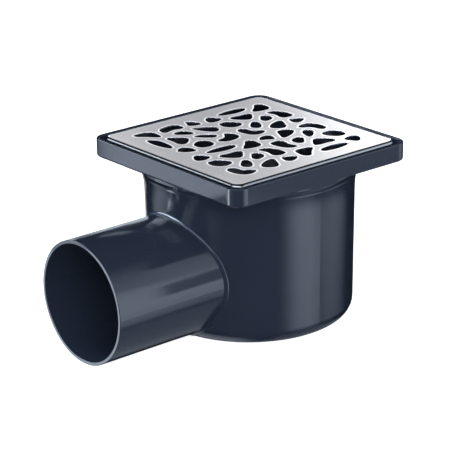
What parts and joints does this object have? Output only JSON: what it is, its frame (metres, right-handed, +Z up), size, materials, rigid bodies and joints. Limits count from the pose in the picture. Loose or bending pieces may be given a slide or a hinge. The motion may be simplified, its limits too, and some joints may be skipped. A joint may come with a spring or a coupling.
{
  "type": "gully trap",
  "caption": "Floor gully with a square head, side outlet spigot, removable bell trap and a stainless grate with pebble-shaped openings.",
  "frame": {"origin": "the sump's axis on the flat base that the gully stands on", "axes": "+Z up through the centre of the square head and grate, -Y along the outlet spigot towards its mouth, +X to the right seen from the outlet"},
  "size_m": [0.2, 0.289, 0.1615],
  "materials": {
    "body_plastic": "gloss moulded anthracite",
    "trap_plastic": "gloss moulded dark grey",
    "seal_rubber": "matt",
    "stainless": "satin brushed"
  },
  "bodies": {
    "root": {"gully_body": "body_plastic", "seal_ring": "seal_rubber", "trap_cup": "trap_plastic", "trap_bell": "trap_plastic", "grate": "stainless"}
  },
  "joints": []
}
